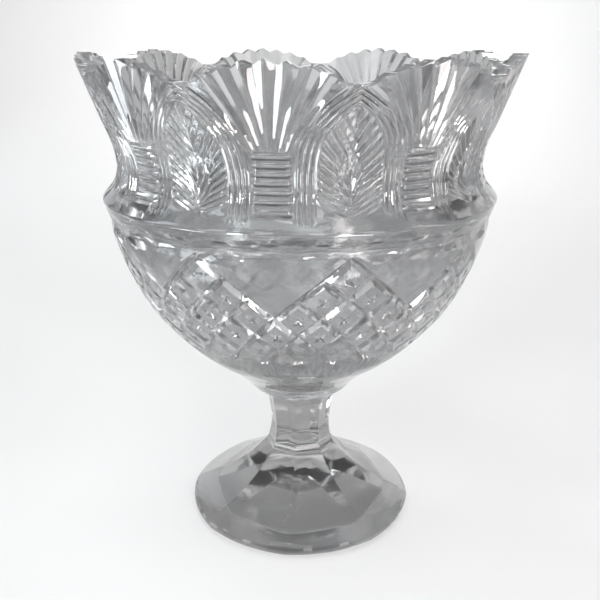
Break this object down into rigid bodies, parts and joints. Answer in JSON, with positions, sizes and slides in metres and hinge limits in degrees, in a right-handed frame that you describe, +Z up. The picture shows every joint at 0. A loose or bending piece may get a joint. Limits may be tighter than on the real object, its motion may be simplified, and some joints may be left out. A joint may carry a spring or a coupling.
{
  "type": "pedestal bowl",
  "caption": "Footed cut-crystal centerpiece bowl: flared gallery of fans and leaves with a toothed rim, lattice-cut sides, faceted stem and foot.",
  "frame": {"origin": "centre of the foot, on the surface that it stands on", "axes": "+Z up along the axis of the bowl; -Y through the middle of one fan and one corner of the stem"},
  "size_m": [0.2548, 0.253, 0.2954],
  "materials": {
    "crystal": "polished clear lead crystal, crisp cut facets",
    "cured_film": "clear cured adhesive film"
  },
  "bodies": {
    "root": {"pedestal": "crystal", "bond_film": "cured_film", "bowl": "crystal"}
  },
  "joints": []
}
